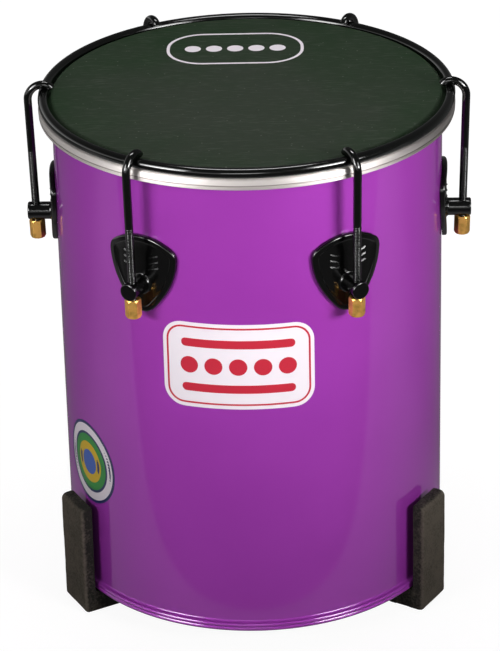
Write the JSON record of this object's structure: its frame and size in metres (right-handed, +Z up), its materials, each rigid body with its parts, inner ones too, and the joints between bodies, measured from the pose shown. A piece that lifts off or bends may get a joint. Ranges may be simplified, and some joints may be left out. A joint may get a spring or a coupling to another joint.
{
  "type": "surdo bass drum",
  "caption": "Upright hand-tuned bass drum: a lacquered sheet-metal shell with a single dark head, hook rods over a hoop, and slotted foam feet.",
  "frame": {"origin": "on the drum's axis, at the floor that its feet stand on", "axes": "+Z up along the drum's axis towards the head; +X and +Y across the drum, with station 1 one degree clockwise of +X seen from above"},
  "size_m": [0.3514, 0.3313, 0.4252],
  "materials": {
    "purple_lacquer": "gloss lacquer",
    "dark_film": "matte",
    "aluminium_ring": "brushed",
    "black_enamel": "gloss",
    "black_casting": "gloss",
    "brass": "machined",
    "zinc_steel": "plated",
    "foam": "matte"
  },
  "bodies": {
    "drum_body": {"shell": "purple_lacquer", "lug_1": "black_casting", "lug_2": "black_casting", "lug_3": "black_casting", "lug_4": "black_casting", "lug_5": "black_casting", "lug_6": "black_casting", "lug_screw_1_upper": "zinc_steel", "lug_screw_1_lower": "zinc_steel", "lug_screw_2_upper": "zinc_steel", "lug_screw_2_lower": "zinc_steel", "lug_screw_3_upper": "zinc_steel", "lug_screw_3_lower": "zinc_steel", "lug_screw_4_upper": "zinc_steel", "lug_screw_4_lower": "zinc_steel", "lug_screw_5_upper": "zinc_steel", "lug_screw_5_lower": "zinc_steel", "lug_screw_6_upper": "zinc_steel", "lug_screw_6_lower": "zinc_steel", "lug_washer_1_upper": "zinc_steel", "lug_washer_1_lower": "zinc_steel", "lug_washer_2_upper": "zinc_steel", "lug_washer_2_lower": "zinc_steel", "lug_washer_3_upper": "zinc_steel", "lug_washer_3_lower": "zinc_steel", "lug_washer_4_upper": "zinc_steel", "lug_washer_4_lower": "zinc_steel", "lug_washer_5_upper": "zinc_steel", "lug_washer_5_lower": "zinc_steel", "lug_washer_6_upper": "zinc_steel", "lug_washer_6_lower": "zinc_steel", "foot_1": "foam", "foot_2": "foam", "foot_3": "foam"},
    "head_and_hoop": {"drumhead": "dark_film", "flesh_hoop": "aluminium_ring", "counterhoop": "black_enamel"},
    "rod_1": {"tension_rod_1": "black_enamel"},
    "nut_1": {"tension_nut_1": "brass"},
    "rod_2": {"tension_rod_2": "black_enamel"},
    "nut_2": {"tension_nut_2": "brass"},
    "rod_3": {"tension_rod_3": "black_enamel"},
    "nut_3": {"tension_nut_3": "brass"},
    "rod_4": {"tension_rod_4": "black_enamel"},
    "nut_4": {"tension_nut_4": "brass"},
    "rod_5": {"tension_rod_5": "black_enamel"},
    "nut_5": {"tension_nut_5": "brass"},
    "rod_6": {"tension_rod_6": "black_enamel"},
    "nut_6": {"tension_nut_6": "brass"}
  },
  "joints": [
    {"name": "head_lift", "type": "slide", "parent": "drum_body", "child": "head_and_hoop", "axis": [0, 0, 1], "range_m": [0, 0.00762]},
    {"name": "nut_1_turn", "type": "hinge", "parent": "drum_body", "child": "nut_1", "pos_m": [0.16882, -0.00295, 0.3072], "axis": [-0.0213, 0.0004, -0.9998], "range_deg": [0, 2160]},
    {"name": "rod_1_slide", "type": "slide", "parent": "drum_body", "child": "rod_1", "axis": [0.0213, -0.0004, 0.9998], "range_m": [0, 0.00762]},
    {"name": "nut_2_turn", "type": "hinge", "parent": "drum_body", "child": "nut_2", "pos_m": [0.08696, 0.14473, 0.3072], "axis": [-0.011, -0.0183, -0.9998], "range_deg": [0, 2160]},
    {"name": "rod_2_slide", "type": "slide", "parent": "drum_body", "child": "rod_2", "axis": [0.011, 0.0183, 0.9998], "range_m": [0, 0.00762]},
    {"name": "nut_3_turn", "type": "hinge", "parent": "drum_body", "child": "nut_3", "pos_m": [-0.08186, 0.14768, 0.3072], "axis": [0.0103, -0.0187, -0.9998], "range_deg": [0, 2160]},
    {"name": "rod_3_slide", "type": "slide", "parent": "drum_body", "child": "rod_3", "axis": [-0.0103, 0.0187, 0.9998], "range_m": [0, 0.00762]},
    {"name": "nut_4_turn", "type": "hinge", "parent": "drum_body", "child": "nut_4", "pos_m": [-0.16882, 0.00295, 0.3072], "axis": [0.0213, -0.0004, -0.9998], "range_deg": [0, 2160]},
    {"name": "rod_4_slide", "type": "slide", "parent": "drum_body", "child": "rod_4", "axis": [-0.0213, 0.0004, 0.9998], "range_m": [0, 0.00762]},
    {"name": "nut_5_turn", "type": "hinge", "parent": "drum_body", "child": "nut_5", "pos_m": [-0.08696, -0.14473, 0.3072], "axis": [0.011, 0.0183, -0.9998], "range_deg": [0, 2160]},
    {"name": "rod_5_slide", "type": "slide", "parent": "drum_body", "child": "rod_5", "axis": [-0.011, -0.0183, 0.9998], "range_m": [0, 0.00762]},
    {"name": "nut_6_turn", "type": "hinge", "parent": "drum_body", "child": "nut_6", "pos_m": [0.08186, -0.14768, 0.3072], "axis": [-0.0103, 0.0187, -0.9998], "range_deg": [0, 2160]},
    {"name": "rod_6_slide", "type": "slide", "parent": "drum_body", "child": "rod_6", "axis": [0.0103, -0.0187, 0.9998], "range_m": [0, 0.00762]}
  ],
  "couplings": [
    {"joint": "rod_1_slide", "follows": "head_lift", "ratio": 1},
    {"joint": "nut_1_turn", "follows": "head_lift", "rad_per_m": 4947.4},
    {"joint": "rod_2_slide", "follows": "head_lift", "ratio": 1},
    {"joint": "nut_2_turn", "follows": "head_lift", "rad_per_m": 4947.4},
    {"joint": "rod_3_slide", "follows": "head_lift", "ratio": 1},
    {"joint": "nut_3_turn", "follows": "head_lift", "rad_per_m": 4947.4},
    {"joint": "rod_4_slide", "follows": "head_lift", "ratio": 1},
    {"joint": "nut_4_turn", "follows": "head_lift", "rad_per_m": 4947.4},
    {"joint": "rod_5_slide", "follows": "head_lift", "ratio": 1},
    {"joint": "nut_5_turn", "follows": "head_lift", "rad_per_m": 4947.4},
    {"joint": "rod_6_slide", "follows": "head_lift", "ratio": 1},
    {"joint": "nut_6_turn", "follows": "head_lift", "rad_per_m": 4947.4}
  ]
}
